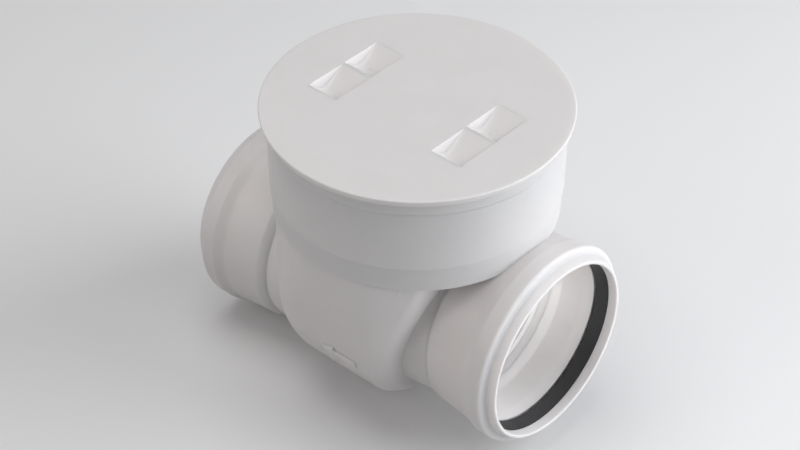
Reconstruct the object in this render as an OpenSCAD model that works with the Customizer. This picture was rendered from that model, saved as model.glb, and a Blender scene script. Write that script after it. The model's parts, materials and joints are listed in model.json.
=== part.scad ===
// In-line backwater valve for a buried drain, with a push-in access lid.
// Millimetres. The origin is on the inlet axis, in the plane where the inlet pipe stops.
// +X runs out of the inlet socket, +Z is up, and Y = 0 is the plane of symmetry.

/* [Pipe sockets] */
// Outside diameter of the drain pipe
pipe_d = 110; // [104:1:112]
// Radial room between the pipe and the socket bore
pipe_gap = 0.3; // [0.2:0.05:0.5]
// Length of straight bore that guides the pipe
bore_l = 22; // [16:1:24]
// Length of the cone between the straight bore and the ring groove
lead_l = 7.5; // [5:0.5:10]
// Radial widening of that cone
lead_gap = 0.8; // [0.5:0.1:1.6]
// Width of the groove for the lip seal
groove_w = 10.4; // [9:0.2:14]
// Depth of the groove below the mouth
groove_depth = 4.8; // [4:0.2:6]
// Length of the mouth in front of the groove
lip_l = 6.6; // [5:0.2:10]
// Radial room between the pipe and the mouth
mouth_gap = 2.8; // [2:0.1:3.2]
// Wall outside the groove
ring_wall = 3.9; // [3:0.1:5]
// Wall of the mouth at its rim
rim_wall = 2.2; // [1.5:0.1:3]
// Growth in wall from the rim to the root of the mouth
rim_taper = 1.6; // [0.5:0.1:2]
// Growth in radius along the sleeve
sleeve_flare = 2.6; // [1:0.1:3]
// Length of sleeve glued over the neck
skirt_l = 6; // [4:0.5:7]
// Length of the taper from the inlet sleeve down to its neck
inlet_taper = 1.5; // [0.8:0.1:1.8]
// Length of the taper from the outlet sleeve down to its neck
outlet_taper = 6; // [2:0.5:10]
// Thickness of a sleeve at the end of its taper
taper_edge = 0.6; // [0.4:0.1:1]
// Wall of the sleeve over the neck
skirt_wall = 2.4; // [2:0.1:4]
// Width of rubber that the pipe pushes aside
lip_reach = 2.7; // [2:0.1:3]
// Thickness of the seal's lip
lip_t = 1.7; // [1.2:0.1:2]
// Room between the folded lip and the line of the bore
lip_room = 0.2; // [0.1:0.05:0.4]
// Room along the pipe at each side of the seal
seal_room = 0.4; // [0.2:0.1:0.6]
// Length of the outside shoulder behind the groove
shoulder_l = 6.5; // [5:0.5:7]
// Wall behind the groove
heel_wall = 2.5; // [2:0.1:3]
// Setback of the bulge's end from the groove's end
bulge_back = 1.4; // [1:0.1:1.8]
// Length of the step from the bulge down to the mouth
lip_step = 2.2; // [1.8:0.1:3]
// Rounding of the socket's edges
socket_round = 1.2; // [0.8:0.1:1.4]

/* [Lower body] */
// Inlet pipe stop to the chamber axis
inlet_reach = 68.5; // [66:0.5:76]
// Outlet pipe stop to the chamber axis
outlet_reach = 89; // [80:0.5:110]
// Drop from the inlet axis to the outlet axis
fall = 16; // [8:0.5:18]
// Chamber axis to the trough's inlet end
trough_inlet = 60; // [59.5:0.5:61.5]
// Chamber axis to the trough's outlet end
trough_outlet = 59; // [57:0.5:61]
// Radius of the round trough bottom
trough_r = 81.4; // [79:0.2:82]
// Height of the trough's bottom arc centre over the inlet axis
trough_rise = 7.6; // [5:0.2:10]
// Rounding of the trough's edge round the inlet wall
inlet_edge_r = 13; // [11:1:16]
// Lean of the trough's inlet wall from upright
inlet_lean = 13; // [11:0.5:14]
// Setback of the inlet wall at the height of the bottom arc's centre
inlet_set = 14; // [13:0.5:15]
// Growth in radius of the inlet neck towards its root
neck_flare = 4; // [2:0.5:5]
// Rounding of the trough's bottom edge at the outlet
outlet_edge_r = 29; // [24:1:32]
// Rounding of the trough's upright corners at the inlet
inlet_corner_r = 8; // [6:0.5:12]
// Rounding of the trough's upright corners at the outlet
outlet_corner_r = 19; // [14:1:22]
// Height of the trough's top over the inlet axis
trough_top = 58; // [57.5:0.5:64]
// Wall of the trough
body_wall = 4; // [3:0.2:5]
// Ledge that stops the pipe
stop_ledge = 2; // [1.5:0.1:3]
// Wall of the necks
neck_wall = 5.5; // [4.5:0.1:6]
// Length of neck hidden in the round end of the trough
neck_root = 14; // [12:1:16]
// Length of the flow arrow
arrow_l = 29; // [20:1:36]
// Relief of the flow arrow
arrow_relief = 0.9; // [0.5:0.1:1.5]
// Width of the arrow's shaft
arrow_shaft_w = 4.6; // [3:0.2:6]
// Width of the arrow's head
arrow_head_w = 12; // [8:0.5:16]
// Length of the arrow's head
arrow_head_l = 11.6; // [8:0.2:14]
// Turn of the arrow below the trough's widest line
arrow_drop = 18; // [10:0.5:40]
// Distance of the arrow from the chamber axis
arrow_x = 5; // [-6:0.5:8]

/* [Access chamber] */
// Radius of the chamber at its foot
chamber_foot_r = 88.6; // [87:0.2:90]
// Radius of the chamber under its collar
chamber_top_r = 90.3; // [89.5:0.1:91.5]
// Height of the chamber
chamber_h = 68; // [60:1:110]
// Height of the stepped foot band
foot_band_h = 17.3; // [10:0.5:22]
// Depth of the step over the foot band
foot_step = 0.7; // [0.3:0.1:1]
// Radius of the collar round the mouth
collar_r = 92.2; // [91.8:0.1:94]
// Height of the collar
collar_h = 7.3; // [5:0.1:12]
// Wall of the chamber at its mouth
chamber_wall = 4.3; // [3.5:0.1:5]
// Thickness of the chamber floor
floor_t = 4; // [3:0.2:6]
// Rounding of the chamber's foot
foot_round = 2; // [1:0.2:3]
// Wall of the saddle over the inlet socket
saddle_t = 2.8; // [2:0.1:4]
// Depth of the parallel mouth under the plug
mouth_over = 2; // [1:0.5:4]

/* [Lid] */
// Diameter of the lid
lid_d = 190; // [188:1:198]
// Thickness of the lid plate
lid_t = 4.2; // [3:0.1:6]
// Depth of the plug under the plate
plug_h = 20; // [16:1:26]
// Wall of the plug
plug_wall = 6.5; // [6:0.1:9]
// Room between the plug and the chamber
plug_gap = 0.5; // [0.4:0.05:0.8]
// Cord diameter of the lid seal
lid_cord_d = 4.2; // [3.6:0.1:4.8]
// Depth of the lid seal under the chamber's mouth
lid_ring_drop = 12; // [8:0.5:13]
// Rounding of the lid's edge
lid_round = 0.8; // [0.4:0.1:1.5]
// Distance of each grip pocket from the lid centre
pocket_x = 48.8; // [40:0.2:52]
// Width of a grip pocket
pocket_w = 22.6; // [18:0.2:26]
// Length of a grip pocket across the pipe
pocket_l = 60.6; // [50:0.2:66]
// Depth of a grip pocket
pocket_depth = 11; // [8:0.5:14]
// Thickness of the web across a grip pocket
pocket_web = 2.3; // [1.5:0.1:4]
// Slant of the pocket walls from upright
pocket_slant = 27; // [10:1:30]
// Wall under and around a grip pocket
pocket_wall = 2.4; // [2:0.1:4]
// Number of stiffening ribs under the lid
lid_ribs = 6; // [4:1:10]
// Thickness of the lid ribs
lid_rib_t = 3; // [2:0.2:5]
// Depth of the lid ribs
lid_rib_h = 8; // [4:0.5:12]
// Radius of the hub where the lid ribs meet
hub_r = 14; // [10:0.5:20]

/* [Flap and seat] */
// Slant of the seat from upright
seat_tilt = 13; // [11:1:14]
// Distance of the seat centre behind the pipe stop
seat_x = 36; // [35.5:0.5:38]
// Thickness of the seat plate
frame_t = 6; // [5:0.5:6.5]
// Radius of the opening through the seat
seat_bore_r = 47.5; // [44:0.5:47.5]
// Outside radius of the seat
seat_r = 57; // [54:0.5:57]
// Room between the seat's spigot and the neck
spigot_gap = 0.3; // [0.2:0.05:0.5]
// Distance of the spigot's end from the pipe stop
spigot_inset = 6; // [3:0.5:7]
// Cord diameter of the seat's sealing ring
frame_cord_d = 2.8; // [2.4:0.1:3.2]
// Distance of the sealing ring from the spigot's end
frame_ring_set = 4.2; // [3.5:0.1:5]
// Radius of the flap
flap_r = 59; // [58:0.5:60]
// Thickness of the flap plate
flap_t = 6; // [4:0.5:8]
// Thickness of the flap gasket
gasket_t = 3.5; // [2.5:0.1:4]
// Thickness of the clamp ring
clamp_t = 3; // [2:0.2:4]
// Outside radius of the clamp ring
clamp_r = 45; // [41:0.5:45]
// Width of the clamp ring
clamp_w = 12; // [10:0.5:14]
// Number of clamp screws
clamp_screws_n = 6; // [4:1:8]
// Radius of a clamp screw
clamp_screw_r = 2; // [1.5:0.1:2.5]
// Radius of a clamp screw's head
clamp_head_r = 4; // [3:0.1:4.5]
// Height of a clamp screw's head
clamp_head_h = 2.4; // [1.6:0.1:3]
// Hinge axis over the seat centre, along the seat
hinge_up = 66; // [65.5:0.5:69]
// Hinge axis in front of the seat face
hinge_out = 8; // [6:0.5:10]
// Radius of the hinge pin
pin_r = 4; // [3:0.1:4.5]
// Running clearance of the flap on its pin
run_gap = 0.05; // [0.02:0.01:0.09]
// Wall of a hinge bush
bush_wall = 2; // [1.5:0.1:2.5]
// Wall of the flap's knuckles round the bushes
knuckle_wall = 2.5; // [2:0.1:3]
// Thickness of a retaining ring
clip_t = 1; // [0.8:0.1:1.4]
// Depth of a retaining ring's groove
clip_depth = 0.9; // [0.6:0.1:1.2]
// Reach of a retaining ring outside the pin
clip_reach = 3; // [2:0.1:4]
// Length of pin outside a retaining ring
pin_over = 1.5; // [1.2:0.1:3]
// Chamfer at the ends of the pin
pin_chamfer = 0.8; // [0.4:0.1:1]
// Inner face of each hinge ear from the middle
ear_y = 27; // [25:0.5:30]
// Thickness of a hinge ear
ear_t = 7; // [5:0.5:8]
// Radius of the eye of a hinge ear
ear_r = 9; // [8:0.5:10]
// Length of plate that roots a hinge ear
ear_root = 3; // [2:0.5:5]
// Room between a hinge ear and the flap's edge
ear_room = 1.5; // [1:0.1:2]
// Width of each flap arm
arm_w = 12; // [8:0.5:14]
// Height of the rib along each flap arm
arm_rib_h = 6; // [3:0.5:8]
// Reach of each flap arm below the flap's centre
arm_tail = 42; // [30:1:46]
// Thickness of a bush flange
bush_flange_t = 1.5; // [1:0.1:1.7]
// Side play between a bush and its ear
side_play = 0.5; // [0.3:0.1:0.8]
// Distance of the fixing lugs from the inlet axis
lug_reach = 65.5; // [65:0.5:66.5]
// Turn of the fixing lugs from upright
lug_turn = 43; // [41:1:46]
// Radius of a fixing lug
lug_r = 6.5; // [5.5:0.5:7]
// Thickness of a fixing lug
lug_t = 4; // [3:0.5:5]
// Radius of a fixing screw
frame_screw_r = 2.4; // [2:0.1:2.6]
// Radius of a fixing screw's head
frame_head_r = 4.3; // [3.6:0.1:5]
// Height of a fixing screw's head
frame_head_h = 3; // [2:0.1:3.5]

/* [Fits] */
// Glue gap between welded pieces
glue_gap = 0.1; // [0.05:0.05:0.2]
// Room round a screw or pin in its hole
hole_gap = 0.05; // [0.03:0.01:0.1]
// Gap left at a rubber ring so that it can slide
ring_gap = 0.3; // [0.3:0.05:0.5]

/* [Hidden] */
$fn = 96;
white = [0.93, 0.92, 0.91];
grey = [0.72, 0.72, 0.72];
rubber = [0.13, 0.13, 0.14];
steel = [0.75, 0.76, 0.78];
// Overlap that lets joined shapes merge and cuts pass through
eps = 1;
// Facets of a blended shell
blend_fn = 72;
// Steps along the flare of the inlet neck, the thickness of each slice and the flare's hollowness
flare_steps = 5;
flare_slice_t = 0.1;
flare_curve = 1.4;

// Pipe that the seat, flap and trough are sized for, and how they grow with another one
rated_pipe_d = 110;
pipe_grow = (pipe_d - rated_pipe_d) / 2;
seat_hole_r = seat_bore_r + pipe_grow;
seat_edge_r = seat_r + pipe_grow;
flap_edge_r = flap_r + pipe_grow;
clamp_edge_r = clamp_r + pipe_grow;
hinge_rise = hinge_up + pipe_grow;
lug_out = lug_reach + pipe_grow;
trough_arc_r = trough_r + pipe_grow;
trough_top_z = trough_top + pipe_grow;

// Radii of the pipe run
pipe_r = pipe_d / 2;
bore_r = pipe_r + pipe_gap;
mouth_r = pipe_r + mouth_gap;
groove_r = mouth_r + groove_depth;
bulge_r = groove_r + ring_wall;
neck_bore_r = pipe_r - stop_ledge;
neck_r = neck_bore_r + neck_wall;
sleeve_r = neck_r + glue_gap + skirt_wall;
sleeve_front_r = sleeve_r + sleeve_flare;
seal_lip_r = bore_r + lip_room;
lead_r = bore_r + lead_gap;

// Stations of a socket from the pipe stop
groove_x = bore_l + lead_l;
groove_end_x = groove_x + groove_w;
mouth_x = groove_end_x + lip_l;
shoulder_x = groove_x - shoulder_l;
shoulder_top_x = groove_x - heel_wall;
bulge_end_x = groove_end_x - bulge_back;
lip_root_x = bulge_end_x + lip_step;

// Stations of the trough along the pipe
axis_x = -inlet_reach;
inlet_end_x = axis_x + trough_inlet;
outlet_end_x = axis_x - trough_outlet;
inlet_wall_x = inlet_end_x - body_wall;
outlet_stop_x = axis_x - outlet_reach;
plan_r = chamber_foot_r - foot_step;
wall_foot_x = inlet_end_x - inlet_set - (neck_r + trough_rise) * tan(inlet_lean);
flare_end_x = -skirt_l - 2 * eps;
flare_lean = atan((flare_end_x - wall_foot_x + inlet_edge_r / 2) / (2 * neck_r));

// Heights and radii of the chamber
mouth_z = trough_top_z + chamber_h;
collar_z = mouth_z - collar_h;
band_z = trough_top_z + foot_band_h;
chamber_mouth_r = min(chamber_top_r, collar_r) - chamber_wall;
chamber_floor_r = chamber_foot_r - chamber_wall;
floor_inner_r = chamber_floor_r - trough_outlet / 2;
lid_top_z = mouth_z + lid_t;
plug_r = chamber_mouth_r - plug_gap;
plug_inner_r = plug_r - plug_wall;
lid_ring_r = chamber_mouth_r - ring_gap - lid_cord_d / 2;
lid_ring_z = mouth_z - lid_ring_drop;
lid_r = lid_d / 2;

// Seat, flap and hinge
spigot_r = neck_bore_r - spigot_gap;
frame_ring_r = neck_bore_r - hole_gap - frame_cord_d / 2;
frame_ring_x = -spigot_inset - frame_ring_set;
bush_r = pin_r + run_gap + bush_wall;
arm_out_y = ear_y - side_play - bush_flange_t;
arm_in_y = arm_out_y - arm_w;
knuckle_r = bush_r + knuckle_wall;
clip_y = ear_y + ear_t + hole_gap;
pin_end_y = clip_y + clip_t + pin_over;
clip_groove_r = pin_r - clip_depth;
clip_r = pin_r + clip_reach;
clamp_circle_r = clamp_edge_r - clamp_w / 2;
gasket_r = flap_edge_r;
gasket_inner_r = clamp_edge_r - clamp_w;
frame_screw_grip = body_wall;
seat_far_x = -2 * seat_x - seat_edge_r;

// Points along a circle from angle a0 to angle a1
function arc(cx, cy, r, a0, a1, n = 6) =
    [for (i = [0 : n])
        let (a = a0 + (a1 - a0) * i / n)
        [cx + r * cos(a), cy + r * sin(a)]];

// Turns a profile drawn as [radius, distance along the pipe] about the pipe axis
module along_pipe() {
    rotate([0, 90, 0])
        rotate_extrude()
            children();
}

// Plain round bar along the pipe from x0 to x1
module pipe_bar(r, x0, x1) {
    translate([x0, 0, 0])
        rotate([0, 90, 0])
            cylinder(r = r, h = x1 - x0);
}

// One end of the trough's plan: the chamber's circle cut off, with round corners
module plan_end(r, half, c) {
    cx = half - c;
    cy = sqrt(pow(r - c, 2) - pow(cx, 2));
    reach = 2 * r / (r - c);
    translate([0, -cy])
        square([half, 2 * cy]);
    for (side = [-1, 1]) {
        intersection() {
            circle(r = r);
            polygon([[0, 0], [cx * reach, side * cy * reach], [0, side * cy * reach]]);
        }
        translate([cx, side * cy])
            circle(r = c);
    }
}

// Plan of the trough under the chamber
module trough_plan(inset) {
    plan_end(plan_r - inset, trough_inlet - inset, inlet_corner_r - inset);
    mirror([1, 0])
        plan_end(plan_r - inset, trough_outlet - inset, outlet_corner_r - inset);
}

// Lower half of a profile turned about the trough's axis
module turned_half() {
    rotate([0, 90, 0])
        rotate([0, 0, -90])
            rotate_extrude(angle = 180, $fn = blend_fn)
                children();
}

// Round foot of the trough at the outlet
module outlet_foot(inset) {
    r = trough_arc_r - inset;
    half = trough_outlet - inset;
    e = outlet_edge_r - inset;
    turned_half()
        polygon(concat([[0, -half]], arc(r - e, e - half, e, -90, 0, 10), [[0, e - half]]));
}

// Rim of the leaning wall at the inlet
module inlet_rim(inset) {
    e = inlet_edge_r - inset;
    translate([trough_inlet - inlet_set - (inset + e) / cos(inlet_lean), 0, 0])
        rotate([0, inlet_lean, 0])
            scale([1, 1, 1 / cos(inlet_lean)])
                turned_half()
                    translate([trough_arc_r - inset - e, 0])
                        circle(r = e, $fn = blend_fn / 2);
}

// Solid trough that blends from the chamber's plan down to its round bottom
module trough_solid(inset) {
    translate([axis_x, 0, 0])
        hull() {
            translate([0, 0, trough_top_z - eps])
                linear_extrude(eps)
                    trough_plan(inset, $fn = blend_fn);
            translate([0, 0, trough_rise]) {
                outlet_foot(inset);
                inlet_rim(inset);
            }
        }
}

// Slice through the flare of the inlet neck, from the wall at t = 0 to the plain neck at t = 1
module flare_slice(t) {
    r = neck_r + neck_flare * pow(1 - t, flare_curve);
    translate([flare_end_x, 0, neck_r])
        rotate([0, flare_lean * (1 - t), 0])
            translate([0, 0, -r])
                rotate([0, 90, 0])
                    cylinder(r = r, h = flare_slice_t, $fn = blend_fn);
}

// Inlet neck that flares into the leaning wall below and runs plain along its top
module inlet_neck() {
    pipe_bar(neck_r, axis_x, 0);
    for (k = [1 : flare_steps])
        hull() {
            flare_slice((k - 1) / flare_steps);
            flare_slice(k / flare_steps);
        }
}

// Outlet neck from its pipe stop at the origin back into the round end of the trough
module outlet_neck(wall_x) {
    pipe_bar(neck_r, wall_x - neck_root, 0);
    translate([wall_x - 2 * neck_root, 0, 0])
        rotate([0, 90, 0])
            cylinder(r1 = neck_r - neck_root / 2, r2 = neck_r, h = neck_root);
}

// Flow arrow that points to the outlet, drawn with its middle on the origin
module arrow_outline() {
    tip = -arrow_l / 2;
    barb = tip + arrow_head_l;
    half_head = arrow_head_w / 2;
    half_shaft = arrow_shaft_w / 2;
    polygon([[tip, 0], [barb, half_head], [barb, half_shaft], [-tip, half_shaft],
        [-tip, -half_shaft], [barb, -half_shaft], [barb, -half_head]]);
}

// Frame of the slanted seat: +Z leaves the seat downstream and +X climbs along it
module on_seat() {
    translate([-seat_x, 0, 0])
        rotate([0, seat_tilt - 90, 0])
            children();
}

// Places a shape on the two fixing lugs, in the frame of the seat
module at_lugs() {
    for (side = [-1, 1])
        translate([lug_out * cos(lug_turn), side * lug_out * sin(lug_turn), 0])
            children();
}

// Everything downstream of a plane parallel to the seat, at a depth behind it
module past_seat(depth) {
    on_seat()
        translate([0, 0, -depth])
            cylinder(r = 4 * seat_edge_r, h = 4 * seat_edge_r);
}

module valve_body() {
    color(white)
    difference() {
        union() {
            difference() {
                union() {
                    trough_solid(0);
                    inlet_neck();
                    at_outlet()
                        outlet_neck(outlet_stop_x - outlet_end_x);
                    translate([axis_x + arrow_x, 0, trough_rise])
                        rotate([90 + arrow_drop, 0, 0])
                            linear_extrude(trough_arc_r + arrow_relief)
                                arrow_outline();
                }
                translate([0, 0, eps])
                    trough_solid(body_wall);
                translate([axis_x, 0, trough_top_z])
                    linear_extrude(chamber_h)
                        trough_plan(body_wall, $fn = blend_fn);
            }
            difference() {
                pipe_bar(seat_edge_r, seat_far_x, inlet_end_x - eps);
                past_seat(frame_t);
            }
            on_seat()
                at_lugs()
                    translate([0, 0, -frame_t - frame_screw_grip - eps])
                        cylinder(r = lug_r, h = frame_screw_grip + eps);
        }
        pipe_bar(neck_bore_r, seat_far_x, eps);
        intersection() {
            pipe_bar(seat_edge_r + glue_gap, seat_far_x, eps);
            past_seat(frame_t);
        }
        translate([0, 0, -fall])
            pipe_bar(neck_bore_r, outlet_stop_x - eps, outlet_end_x + outlet_edge_r);
        on_seat()
            at_lugs()
                translate([0, 0, -frame_t - frame_screw_grip])
                    cylinder(r = frame_screw_r + hole_gap, h = frame_screw_grip + eps);
    }
}

module access_chamber() {
    saddle_r = sleeve_front_r + glue_gap + saddle_t;
    color(white)
    difference() {
        union() {
            translate([axis_x, 0, 0])
                rotate_extrude()
                    polygon(concat(
                        [[floor_inner_r, trough_top_z]],
                        arc(chamber_foot_r - foot_round, trough_top_z + foot_round, foot_round, -90, 0, 4),
                        [[chamber_foot_r + foot_step / 3, band_z - foot_step],
                        [chamber_foot_r + foot_step, band_z],
                        [chamber_top_r, collar_z - abs(collar_r - chamber_top_r)],
                        [collar_r, collar_z],
                        [collar_r, mouth_z],
                        [chamber_mouth_r, mouth_z],
                        [chamber_mouth_r, mouth_z - plug_h - mouth_over],
                        [chamber_floor_r, trough_top_z + floor_t],
                        [floor_inner_r, trough_top_z + floor_t]]));
            intersection() {
                pipe_bar(saddle_r, inlet_wall_x, groove_x);
                translate([axis_x, 0, trough_top_z])
                    cylinder(r = chamber_foot_r - eps, h = chamber_h / 2);
            }
        }
        translate([axis_x, 0, trough_top_z - eps])
            linear_extrude(chamber_h / 2)
                trough_plan(body_wall);
        socket_outside(glue_gap);
        pipe_bar(neck_r + glue_gap, inlet_wall_x - eps, eps);
    }
}

// Outside of the inlet socket's sleeve, grown by a gap, as a solid
module socket_outside(gap) {
    along_pipe()
        polygon([[0, -skirt_l - inlet_taper], [sleeve_r + gap, -skirt_l - inlet_taper],
            [sleeve_front_r + gap, shoulder_x], [0, shoulder_x]]);
}

// Ring-seal socket whose sleeve tapers down to the neck that it is glued on
module socket(taper) {
    skirt_x = -skirt_l - taper;
    round_r = socket_round;
    shoulder_turn = 45;
    step_turn = 60;
    along_pipe()
        polygon(concat(
            [[bore_r, 0], [neck_r + glue_gap, 0], [neck_r + glue_gap, skirt_x],
            [neck_r + glue_gap + taper_edge, skirt_x], [sleeve_r, -skirt_l],
            [sleeve_front_r, shoulder_x]],
            arc(bulge_r - round_r, shoulder_top_x + round_r, round_r, -shoulder_turn, 0, 3),
            arc(bulge_r - round_r, bulge_end_x - round_r, round_r, 0, step_turn, 4),
            [[mouth_r + rim_wall + rim_taper, lip_root_x]],
            arc(mouth_r + rim_wall / 2, mouth_x - rim_wall / 2, rim_wall / 2, 0, 180, 6),
            [[mouth_r, groove_end_x], [groove_r, groove_end_x], [groove_r, groove_x],
            [lead_r, groove_x], [bore_r, bore_l]]));
}

// Lip seal in its groove, with its lip turned in as a fitted pipe leaves it
module seal() {
    heel_x = groove_x + seal_room;
    toe_x = groove_end_x - seal_room;
    lip_x = heel_x + lip_reach - lip_t / 2;
    along_pipe()
        polygon(concat(
            [[groove_r - glue_gap, heel_x], [groove_r - glue_gap, toe_x], [mouth_r + glue_gap, toe_x]],
            arc(seal_lip_r + lip_t / 2, lip_x, lip_t / 2, 150, 330, 6),
            [[mouth_r + lip_t, toe_x - lip_reach], [mouth_r + lip_t, heel_x]]));
}

module at_outlet() {
    translate([outlet_stop_x, 0, -fall])
        mirror([1, 0, 0])
            children();
}

module inlet_socket() {
    color(white)
        socket(inlet_taper);
}

module outlet_socket() {
    color(white)
        at_outlet()
            socket(outlet_taper);
}

module inlet_seal() {
    color(rubber)
        seal();
}

module outlet_seal() {
    color(rubber)
        at_outlet()
            seal();
}

// Pocket cell with slanted walls that is open at the top, grown by a wall
module pocket_cell(w, l, grow) {
    run = pocket_depth * tan(pocket_slant);
    deep = pocket_depth + grow;
    intersection() {
        translate([0, l / 2 + grow, 0])
            rotate([90, 0, 0])
                linear_extrude(l + 2 * grow)
                    polygon([[-w / 2 - grow, 0], [w / 2 + grow, 0],
                        [w / 2 + grow - run, -deep], [run - w / 2 - grow, -deep]]);
        translate([-w / 2 - grow, 0, 0])
            rotate([90, 0, 90])
                linear_extrude(w + 2 * grow)
                    polygon([[-l / 2 - grow, 0], [l / 2 + grow, 0],
                        [l / 2 + grow - run, -deep], [run - l / 2 - grow, -deep]]);
    }
}

// Places a shape on each of the four pocket cells
module at_cells() {
    for (end = [-1, 1])
        for (side = [-1, 1])
            translate([end * pocket_x, side * (pocket_l + pocket_web) / 4, lid_top_z])
                children();
}

module lid() {
    cell_l = (pocket_l - pocket_web) / 2;
    color(white)
    translate([axis_x, 0, 0])
    difference() {
        union() {
            rotate_extrude()
                polygon(concat(
                    [[0, mouth_z], [plug_inner_r, mouth_z],
                    [plug_inner_r + eps, mouth_z - plug_h], [plug_r - eps, mouth_z - plug_h],
                    [plug_r, mouth_z - plug_h + eps],
                    [plug_r, lid_ring_z - lid_cord_d / 2],
                    [lid_ring_r - lid_cord_d / 2, lid_ring_z - lid_cord_d / 2],
                    [lid_ring_r - lid_cord_d / 2, lid_ring_z + lid_cord_d / 2],
                    [plug_r, lid_ring_z + lid_cord_d / 2],
                    [plug_r, mouth_z], [lid_r - lid_round, mouth_z]],
                    arc(lid_r - lid_round, lid_top_z - lid_round, lid_round, 0, 90, 4),
                    [[0, lid_top_z]]));
            at_cells()
                pocket_cell(pocket_w, cell_l, pocket_wall);
            for (k = [0 : lid_ribs - 1])
                rotate([0, 0, 360 * (k + 0.5) / lid_ribs])
                    translate([0, -lid_rib_t / 2, mouth_z - lid_rib_h])
                        cube([plug_inner_r + eps, lid_rib_t, lid_rib_h + eps]);
            translate([0, 0, mouth_z - lid_rib_h])
                cylinder(r = hub_r, h = lid_rib_h + eps);
        }
        at_cells()
            pocket_cell(pocket_w, cell_l, 0);
        translate([0, 0, mouth_z - lid_rib_h - eps])
            cylinder(r = hub_r - lid_rib_t, h = lid_rib_h + eps);
    }
}

module lid_seal() {
    color(rubber)
        translate([axis_x, 0, lid_ring_z])
            rotate_extrude()
                translate([lid_ring_r, 0])
                    circle(r = lid_cord_d / 2);
}

// Ear that carries the hinge pin, in the frame of the seat
module hinge_ear() {
    base = sqrt(pow(seat_edge_r, 2) - pow(ear_y + ear_t, 2)) - ear_root;
    clear = sqrt(pow(flap_edge_r, 2) - pow(ear_y, 2)) + ear_room;
    translate([0, ear_t / 2, 0])
        rotate([90, 0, 0])
            linear_extrude(ear_t) {
                translate([hinge_rise, hinge_out])
                    circle(r = ear_r);
                polygon([[base, -frame_t], [base, 0], [clear, 0], [hinge_rise - ear_r, hinge_out],
                    [hinge_rise, hinge_out],
                    [hinge_rise + ear_r * sin(45), hinge_out - ear_r * cos(45)],
                    [clear, -frame_t]]);
            }
}

// Outline of a fixing lug that grows out of the seat plate along +X
module lug_outline() {
    translate([lug_out, 0])
        circle(r = lug_r);
    translate([seat_hole_r + eps, -lug_r])
        square([lug_out - seat_hole_r - eps, 2 * lug_r]);
}

module seat_frame() {
    color(grey)
    difference() {
        union() {
            difference() {
                union() {
                    intersection() {
                        pipe_bar(seat_edge_r, seat_far_x, 0);
                        past_seat(frame_t);
                    }
                    pipe_bar(spigot_r, seat_far_x, -spigot_inset);
                }
                past_seat(0);
            }
            on_seat()
                for (side = [-1, 1]) {
                    translate([0, side * (ear_y + ear_t / 2), 0])
                        hinge_ear();
                    rotate([0, 0, side * lug_turn])
                        translate([0, 0, -frame_t])
                            linear_extrude(lug_t)
                                lug_outline();
                }
        }
        pipe_bar(seat_hole_r, seat_far_x, eps);
        translate([frame_ring_x, 0, 0])
            along_pipe()
                translate([frame_ring_r - frame_cord_d / 2, -frame_cord_d / 2])
                    square([frame_cord_d, frame_cord_d]);
        on_seat() {
            at_lugs()
                translate([0, 0, -frame_t - eps])
                    cylinder(r = frame_screw_r + hole_gap, h = lug_t + 2 * eps);
            translate([hinge_rise, 0, hinge_out])
                rotate([90, 0, 0])
                    cylinder(r = pin_r + hole_gap, h = 4 * ear_y, center = true);
        }
    }
}

module frame_seal() {
    color(rubber)
        translate([frame_ring_x, 0, 0])
            along_pipe()
                translate([frame_ring_r, 0])
                    circle(r = frame_cord_d / 2);
}

module frame_screws() {
    color(steel)
        on_seat()
            at_lugs()
                translate([0, 0, lug_t - frame_t]) {
                    translate([0, 0, hole_gap - lug_t - frame_screw_grip])
                        cylinder(r = frame_screw_r, h = lug_t + frame_screw_grip);
                    cylinder(r = frame_head_r, h = frame_head_h);
                }
}

// Places a shape on every clamp screw of the flap
module at_clamp_screws() {
    for (k = [0 : clamp_screws_n - 1])
        rotate([0, 0, 360 * (k + 0.5) / clamp_screws_n])
            translate([clamp_circle_r, 0, 0])
                children();
}

// Arm of the flap with its stiffening rib, in the frame of the seat
module flap_arm() {
    plate_z = gasket_t + flap_t;
    translate([0, arm_w / 2, 0])
        rotate([90, 0, 0])
            linear_extrude(arm_w) {
                translate([hinge_rise, hinge_out])
                    circle(r = knuckle_r);
                polygon([[-arm_tail, plate_z - eps], [-arm_tail, plate_z + eps],
                    [hinge_rise / 4, plate_z + arm_rib_h], [hinge_rise, hinge_out + knuckle_r],
                    [hinge_rise, hinge_out - knuckle_r / 2], [flap_edge_r - knuckle_r, gasket_t + eps],
                    [0, gasket_t + eps]]);
            }
}

module flap() {
    color(grey)
    on_seat()
    difference() {
        union() {
            translate([0, 0, gasket_t])
                cylinder(r = flap_edge_r, h = flap_t);
            for (side = [-1, 1])
                translate([0, side * (arm_in_y + arm_w / 2), 0])
                    flap_arm();
        }
        at_clamp_screws()
            translate([0, 0, gasket_t - eps])
                cylinder(r = clamp_screw_r + hole_gap, h = flap_t);
        translate([hinge_rise, 0, hinge_out])
            rotate([90, 0, 0])
                cylinder(r = bush_r, h = 4 * ear_y, center = true);
    }
}

module flap_gasket() {
    color(rubber)
    on_seat()
    difference() {
        cylinder(r = gasket_r, h = gasket_t);
        translate([0, 0, -eps])
            cylinder(r = gasket_inner_r, h = gasket_t + 2 * eps);
        at_clamp_screws()
            translate([0, 0, -eps])
                cylinder(r = clamp_screw_r + hole_gap, h = gasket_t + 2 * eps);
    }
}

module gasket_clamp() {
    color(grey)
    on_seat()
    translate([0, 0, -clamp_t])
    difference() {
        cylinder(r = clamp_edge_r, h = clamp_t);
        translate([0, 0, -eps])
            cylinder(r = gasket_inner_r, h = clamp_t + 2 * eps);
        at_clamp_screws()
            translate([0, 0, -eps])
                cylinder(r = clamp_screw_r + hole_gap, h = clamp_t + 2 * eps);
    }
}

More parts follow.
